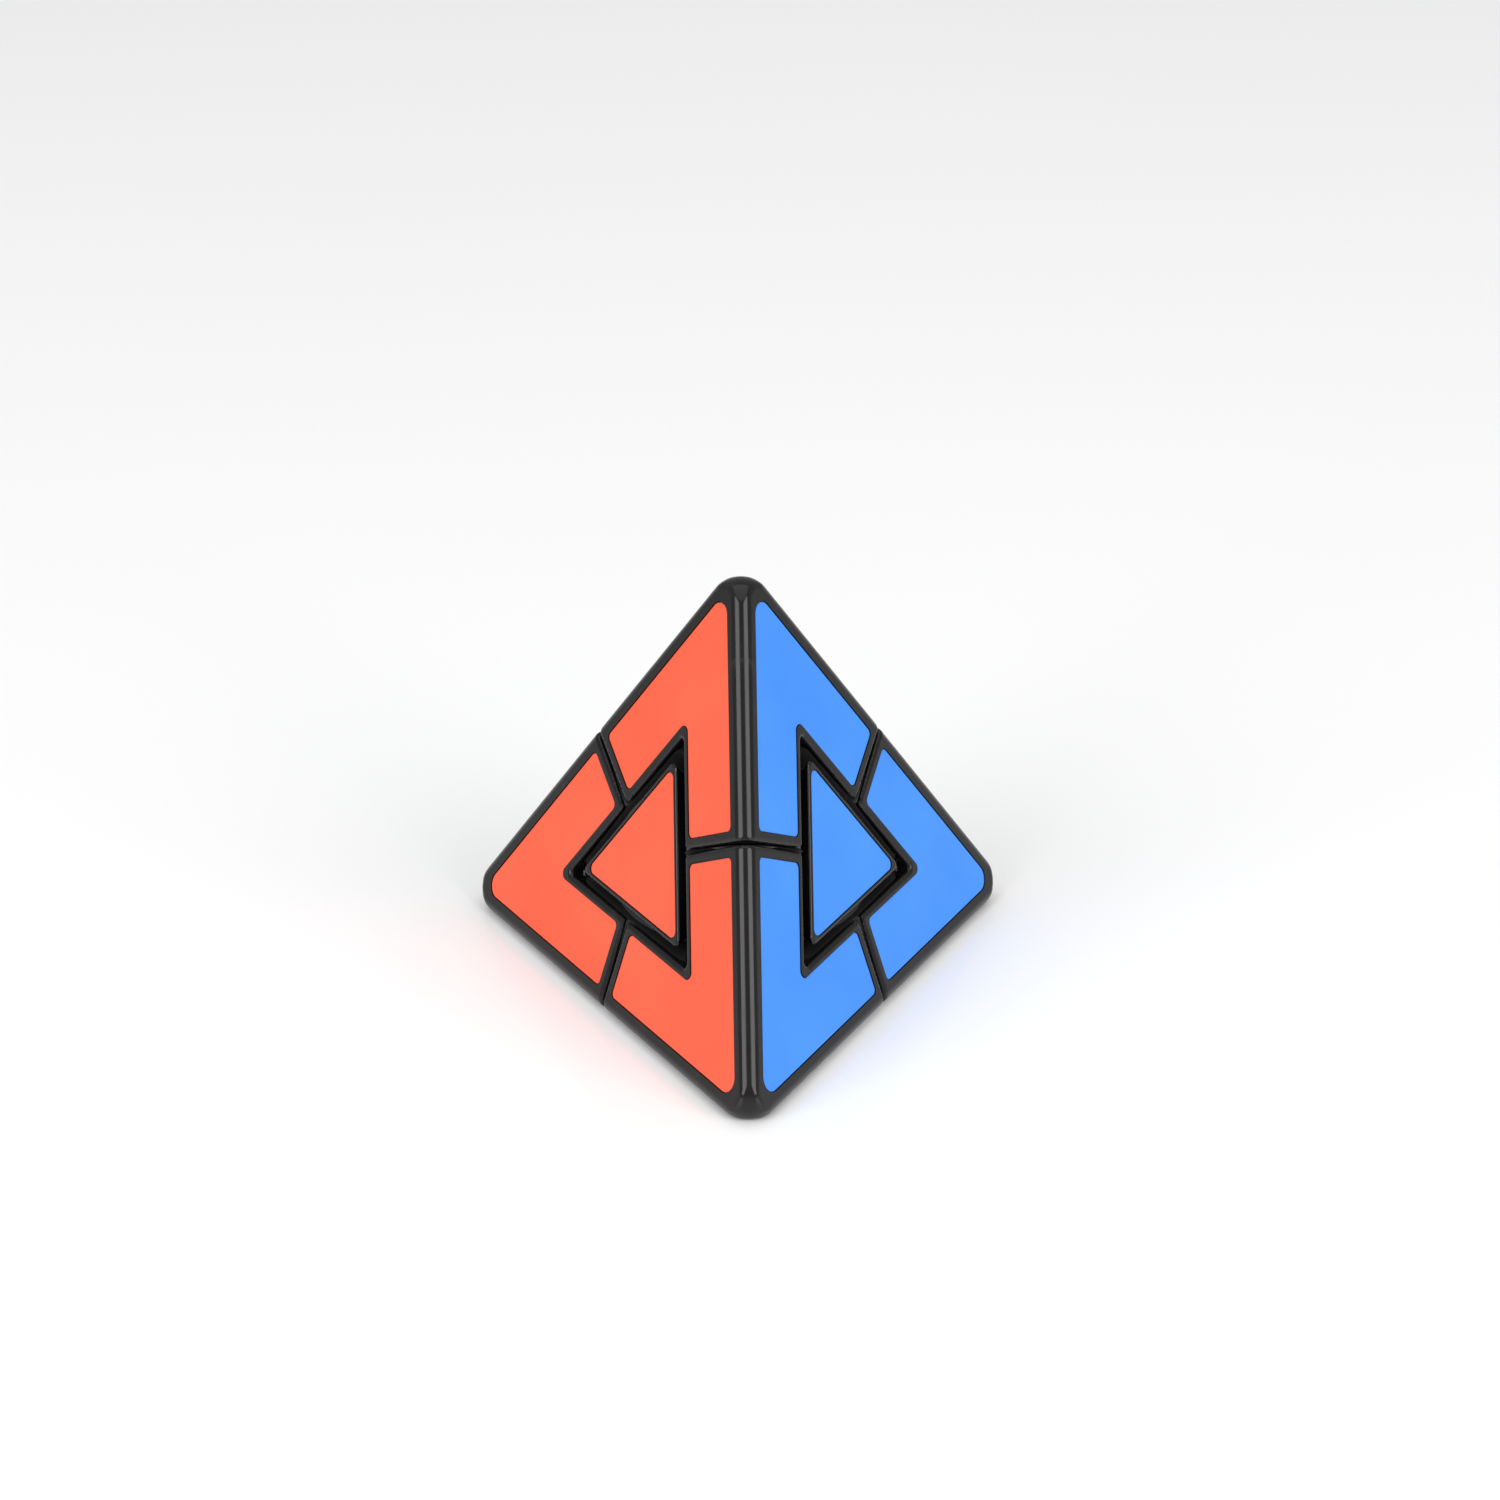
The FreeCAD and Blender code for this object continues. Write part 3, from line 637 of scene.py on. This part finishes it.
def ranged(tree, value, low, high, to_low, to_high):
    """Value mapped from one range to another."""
    node = tree.nodes.new("ShaderNodeMapRange")
    limits = {"From Min": low, "From Max": high, "To Min": to_low, "To Max": to_high}
    for socket, number in limits.items():
        node.inputs[socket].default_value = number
    tree.links.new(value, node.inputs["Value"])
    return node.outputs["Result"]


def blended(tree, factor, first, second):
    """Two colours mixed by a factor."""
    node = tree.nodes.new("ShaderNodeMix")
    node.data_type = "RGBA"
    tree.links.new(factor, node.inputs[0])
    for socket, colour in ((node.inputs[6], first), (node.inputs[7], second)):
        if isinstance(colour, tuple):
            socket.default_value = (*colour, 1.0)
        else:
            tree.links.new(colour, socket)
    return node.outputs[2]


def added(tree, first, second, operation="ADD"):
    """Two values joined by arithmetic."""
    node = tree.nodes.new("ShaderNodeMath")
    node.operation = operation
    for socket, value in zip(node.inputs, (first, second)):
        tree.links.new(value, socket)
    return node.outputs[0]


def bump(tree, shader, layers):
    """Bumps of several heights in metres, laid over each other."""
    normal = None
    for height, distance in layers:
        node = tree.nodes.new("ShaderNodeBump")
        node.inputs["Strength"].default_value = 1.0
        node.inputs["Distance"].default_value = distance
        tree.links.new(height, node.inputs["Height"])
        if normal is not None:
            tree.links.new(normal, node.inputs["Normal"])
        normal = node.outputs["Normal"]
    tree.links.new(normal, shader.inputs["Normal"])


def black_plastic(name, seed=0.0, gloss=0.15):
    """Moulded glossy black plastic, with faint handling marks."""
    material, tree, shader = principled(name)
    broad = noise(tree, 55.0, 3.0, 0.5, seed=seed)
    smudge = noise(tree, 160.0, 5.0, 0.6, seed=seed + 3.0)
    scratches = noise(tree, 420.0, 2.0, 0.5, stretch=(1.0, 0.06, 0.35), seed=seed + 7.0)
    crossing = noise(tree, 380.0, 2.0, 0.5, stretch=(0.08, 1.0, 0.5), seed=seed + 11.0)
    grain = noise(tree, 2600.0, 2.0, 0.5, seed=seed + 1.0)
    clouds = ranged(tree, broad, 0.3, 0.7, 0.0, 1.0)
    colour = blended(tree, clouds, (0.0056, 0.0046, 0.0050), (0.0088, 0.0074, 0.0080))
    marks = ranged(tree, added(tree, scratches, crossing, "MAXIMUM"), 0.66, 0.80, 0.0, 1.0)
    colour = blended(tree, ranged(tree, marks, 0.0, 1.0, 0.0, 0.35), colour, (0.035, 0.034, 0.034))
    tree.links.new(colour, shader.inputs["Base Color"])
    rough = ranged(tree, smudge, 0.35, 0.70, gloss - 0.03, gloss + 0.06)
    rough = added(tree, rough, ranged(tree, marks, 0.0, 1.0, 0.0, 0.10))
    tree.links.new(rough, shader.inputs["Roughness"])
    shader.inputs["IOR"].default_value = 1.52
    shader.inputs["Specular IOR Level"].default_value = 0.31
    bump(tree, shader, (
        (broad, 0.00002),
        (grain, 0.0000012),
        (ranged(tree, marks, 0.0, 1.0, 0.0, -1.0), 0.0000010),
    ))
    return material


def sticker_vinyl(name, colour, seed=0.0):
    """Coloured vinyl: satin, slightly uneven, with faint fine grain."""
    material, tree, shader = principled(name)
    broad = noise(tree, 42.0, 2.0, 0.5, seed=seed)
    fine = noise(tree, 900.0, 3.0, 0.6, seed=seed + 2.0)
    grain = noise(tree, 3200.0, 2.0, 0.6, seed=seed + 5.0)
    rubbed = noise(tree, 210.0, 4.0, 0.6, stretch=(1.0, 0.3, 0.6), seed=seed + 9.0)
    deep = tuple(channel * 0.93 for channel in colour)
    pale = tuple(min(1.0, channel * 1.03 + 0.006) for channel in colour)
    base = blended(tree, ranged(tree, broad, 0.3, 0.7, 0.0, 1.0), deep, pale)
    base = blended(tree, ranged(tree, fine, 0.35, 0.75, 0.0, 0.10), base, pale)
    tree.links.new(base, shader.inputs["Base Color"])
    tree.links.new(ranged(tree, rubbed, 0.35, 0.70, 0.36, 0.46), shader.inputs["Roughness"])
    shader.inputs["IOR"].default_value = 1.46
    shader.inputs["Specular IOR Level"].default_value = 0.30
    bump(tree, shader, ((broad, 0.00003), (fine, 0.0000025), (grain, 0.0000012)))
    return material


def metal(name, colour, rough):
    """Plated steel with drawn marks."""
    material, tree, shader = principled(name)
    drawn = noise(tree, 900.0, 3.0, 0.6, stretch=(1.0, 1.0, 0.08))
    spots = noise(tree, 300.0, 4.0, 0.6, seed=4.0)
    base = blended(tree, ranged(tree, spots, 0.3, 0.7, 0.0, 1.0), tuple(c * 0.8 for c in colour), colour)
    tree.links.new(base, shader.inputs["Base Color"])
    shader.inputs["Metallic"].default_value = 1.0
    tree.links.new(ranged(tree, drawn, 0.3, 0.7, rough - 0.06, rough + 0.10), shader.inputs["Roughness"])
    bump(tree, shader, ((drawn, 0.000004),))
    return material


def inner_plastic(name, colour, seed=0.0):
    """Plain moulded plastic of the hidden parts."""
    material, tree, shader = principled(name)
    broad = noise(tree, 80.0, 4.0, 0.6, seed=seed)
    grain = noise(tree, 1500.0, 3.0, 0.6, seed=seed + 1.0)
    base = blended(tree, ranged(tree, broad, 0.3, 0.7, 0.0, 1.0), tuple(c * 0.8 for c in colour), colour)
    tree.links.new(base, shader.inputs["Base Color"])
    tree.links.new(ranged(tree, grain, 0.3, 0.7, 0.40, 0.55), shader.inputs["Roughness"])
    bump(tree, shader, ((grain, 0.000004), (broad, 0.00001)))
    return material


SHELL_BLACK = black_plastic("shell_black")
CAP_BLACK = black_plastic("cap_black", seed=20.0, gloss=0.13)
INNER_BLACK = inner_plastic("inner_black", (0.016, 0.0155, 0.016))
CORE_WHITE = inner_plastic("core_white", (0.55, 0.55, 0.53), seed=5.0)
STEEL = metal("screw_steel", (0.62, 0.61, 0.58), 0.28)
STICKER_COLOURS = {
    "left": sticker_vinyl("sticker_red_orange", (0.93, 0.115, 0.052), seed=1.0),
    "right": sticker_vinyl("sticker_blue", (0.050, 0.262, 0.86), seed=8.0),
    "back": sticker_vinyl("sticker_green", (0.035, 0.42, 0.11), seed=15.0),
    "base": sticker_vinyl("sticker_yellow", (0.88, 0.62, 0.03), seed=22.0),
}


def finish_with(node, material):
    """Gives a kept CAD node its material."""
    mesh = nodes[node].data
    mesh.materials.clear()
    mesh.materials.append(material)


for name in nodes:
    if name.startswith(("screw", "spring", "washer")):
        finish_with(name, STEEL)
    elif name == "core":
        finish_with(name, CORE_WHITE)
    else:
        finish_with(name, INNER_BLACK)


# ---------------------------------------------------------------- the detailed pieces

def body_holding(node):
    """Name of the CAD body that a node belongs to."""
    for body, members in frame["record"]["behaviour"]["bodies"].items():
        if node in members:
            return body
    raise KeyError(node)


def stood(mesh, name, turn):
    """Copy of a mesh in millimetres round the core, turned and stood in the row's frame."""
    copy = mesh.copy()
    copy.name = name
    copy.transform(Matrix.Translation(CORE) @ Matrix.Scale(MM, 4) @ turn)
    return copy


def put(node, mesh, turn, material, weighted=True):
    """A detailed piece that stands for a CAD node."""
    piece = new_object(f"{node}_detail", stood(mesh, f"{node}_detail", turn))
    piece.data.materials.clear()
    piece.data.materials.append(material)
    if weighted:
        piece.data.shade_smooth()
        soft = piece.modifiers.new("soft_normals", "WEIGHTED_NORMAL")
        soft.mode = "FACE_AREA"
        soft.weight = 80
        soft.keep_sharp = True
    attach(piece, body_holding(node))
    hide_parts(node)
    return piece


def thinned(mesh):
    """Flat areas joined into large faces."""
    bm = bmesh.new()
    bm.from_mesh(mesh)
    curved = set()
    for edge in bm.edges:
        if edge.calc_face_angle(math.pi) > FLAT_ANGLE:
            curved.update(edge.link_faces)
    inner = [edge for edge in bm.edges if not curved.intersection(edge.link_faces)]
    rim = {vert for face in curved for vert in face.verts}
    corners = {vert for edge in inner for vert in edge.verts} - rim
    bmesh.ops.dissolve_limit(bm, angle_limit=FLAT_ANGLE, verts=list(corners), edges=inner)
    for face in bm.faces:
        face.smooth = True
    bm.to_mesh(mesh)
    bm.free()
    return mesh


def true_normals(mesh, field):
    """Shading normals from the field itself, and flat ones on faces that aren't on it."""
    count = len(mesh.vertices)
    points = np.empty(count * 3, dtype=np.float32)
    mesh.vertices.foreach_get("co", points)
    points = points.reshape(-1, 3).astype(float)
    slope = gradient_of(field, points, 0.01)
    slope /= np.maximum(np.linalg.norm(slope, axis=1), 1e-9)[:, None]
    on_field = np.abs(field(points)) < NORMAL_REACH
    flat = np.empty(len(mesh.polygons) * 3, dtype=np.float32)
    mesh.polygons.foreach_get("normal", flat)
    sides = np.empty(len(mesh.polygons), dtype=np.int32)
    mesh.polygons.foreach_get("loop_total", sides)
    flat = np.repeat(flat.reshape(-1, 3), sides, axis=0)
    corner = np.empty(len(mesh.loops), dtype=np.int32)
    mesh.loops.foreach_get("vertex_index", corner)
    agreement = (flat * slope[corner]).sum(axis=1)
    follows = on_field[corner] & (agreement > math.cos(NORMAL_ANGLE))
    mesh.normals_split_custom_set(np.where(follows[:, None], slope[corner], flat).tolist())
    return mesh


def recessed(name, field, low, high, recesses):
    """Mesh of a field with the recesses of its stickers taken away."""
    vertices, quads = surface_net(field, low, high, GRID)
    item = new_object(name, mesh_from(name, vertices, quads))
    cutters = []
    for index, (mesh, place) in enumerate(recesses):
        shape = mesh.copy()
        shape.transform(place)
        cutter = new_object(f"{name}_cutter{index}", shape)
        cutters.append(cutter)
        cut = item.modifiers.new(f"recess{index}", "BOOLEAN")
        cut.operation = "DIFFERENCE"
        cut.solver = "MANIFOLD"
        cut.object = cutter
    mesh = applied(item)
    for cutter in cutters:
        data = cutter.data
        bpy.data.objects.remove(cutter)
        bpy.data.meshes.remove(data)
    bpy.data.objects.remove(item)
    return true_normals(thinned(mesh), field)


corner_sticker = sticker_mesh("corner_sticker", corner_outline())
centre_sticker = sticker_mesh("centre_sticker", centre_outline())
corner_recess = recess_mesh("corner_recess", corner_outline())
centre_recess = recess_mesh("centre_recess", centre_outline())

shell_mesh = recessed(
    "corner_shell_form", shell_distance, (-29.0, -30.0, -1.5), (29.0, 29.0, 60.0),
    [(corner_recess, on_face("top", opposite)) for opposite in LOWER],
)
cap_mesh = recessed(
    "centre_cap_form", cap_distance, (-19.0, -21.5, -23.0), (19.0, 21.5, -12.0),
    [(centre_recess, on_face("front", "top"))],
)

for corner in CORNERS:
    turn = swap_with_top(corner)
    face = FACE_OPPOSITE[corner]
    put(f"corner_shell_{corner}", shell_mesh, turn, SHELL_BLACK, weighted=False)
    put(f"centre_cap_{face}", cap_mesh, turn, CAP_BLACK, weighted=False)
    place = turn @ on_face("front", "top")
    put(f"sticker_centre_{face}", centre_sticker, place, STICKER_COLOURS[face])

for corner, step in itertools.product(CORNERS, range(3)):
    turn = swap_with_top(corner) @ about_top(step)
    face = FACE_OPPOSITE[image_of(turn, "right")]
    node = f"sticker_{image_of(turn, 'top')}_on_{face}"
    put(node, corner_sticker, turn @ on_face("top", "right"), STICKER_COLOURS[face])

for mesh in (shell_mesh, cap_mesh, corner_sticker, centre_sticker, corner_recess, centre_recess):
    bpy.data.meshes.remove(mesh)

# ---------------------------------------------------------------- floor, light and camera

floor_mesh = bpy.data.meshes.new("floor")
floor_mesh.from_pydata([(-6, -6, 0), (6, -6, 0), (6, 6, 0), (-6, 6, 0)], [], [(0, 1, 2, 3)])
floor = new_object("floor", floor_mesh)
floor_material, floor_tree, floor_shader = principled("studio_floor")
floor_tone = noise(floor_tree, 3.0, 2.0, 0.5)
floor_colour = blended(floor_tree, floor_tone, (0.90, 0.90, 0.905), (0.93, 0.93, 0.932))
floor_tree.links.new(floor_colour, floor_shader.inputs["Base Color"])
floor_shader.inputs["Roughness"].default_value = 0.12
floor_shader.inputs["Specular IOR Level"].default_value = 0.5
floor_mesh.materials.append(floor_material)

world = bpy.data.worlds.new("studio")
bpy.context.scene.world = world
world.use_nodes = True
backdrop = world.node_tree.nodes["Background"]
backdrop.inputs["Color"].default_value = (1.0, 1.0, 1.0, 1.0)
backdrop.inputs["Strength"].default_value = 0.46


LIGHT_AIM = Vector((0, 0, 0.03))
LIGHT_DISTANCE = 2.0


def softbox(name, azimuth, elevation, width, height, power):
    """Soft rectangular light; azimuth 0 is in front, 90 to the right."""
    lamp = bpy.data.lights.new(name, "AREA")
    lamp.shape = "RECTANGLE"
    lamp.size = width
    lamp.size_y = height
    lamp.energy = power
    item = bpy.data.objects.new(name, lamp)
    a, e = math.radians(azimuth), math.radians(elevation)
    towards = Vector((math.sin(a) * math.cos(e), -math.cos(a) * math.cos(e), math.sin(e)))
    item.location = LIGHT_AIM + towards * LIGHT_DISTANCE
    item.rotation_euler = (item.location - LIGHT_AIM).to_track_quat("Z", "Y").to_euler()
    bpy.context.scene.collection.objects.link(item)


softbox("soft_left", -49, 26, 1.25, 1.40, 24.0)
softbox("soft_right", 49, 26, 1.25, 1.40, 24.0)
softbox("soft_above", 0, 88, 2.4, 2.4, 16.0)

AZIMUTH, ELEVATION, ROLL = math.radians(1.51), math.radians(27.44), math.radians(-0.08)
AWAY = np.array((-0.015, 0.199, 8.564)) * EDGE * MM
FOCAL = 4985.0 / 1500.0
SENSOR = 36.0
forward = np.array((
    math.sin(AZIMUTH) * math.cos(ELEVATION), math.cos(AZIMUTH) * math.cos(ELEVATION), -math.sin(ELEVATION)
))
rightward = np.cross(forward, (0.0, 0.0, 1.0))
rightward /= np.linalg.norm(rightward)
downward = np.cross(forward, rightward)
roll = np.array((
    (math.cos(ROLL), -math.sin(ROLL), 0), (math.sin(ROLL), math.cos(ROLL), 0), (0, 0, 1)
))
sight = roll @ np.stack([rightward, downward, forward])
eye = np.array(CORE) - sight.T @ AWAY
lens = bpy.data.cameras.new("camera")
lens.sensor_width = SENSOR
lens.lens = FOCAL * SENSOR
lens.clip_start = 0.01
lens.clip_end = 50.0
camera = bpy.data.objects.new("camera", lens)
bpy.context.scene.collection.objects.link(camera)
facing = Matrix((sight[0], -sight[1], -sight[2])).transposed().to_4x4()
facing.translation = Vector(eye)
camera.matrix_world = facing
bpy.context.scene.camera = camera

bpy.context.scene.view_settings.view_transform = "Standard"
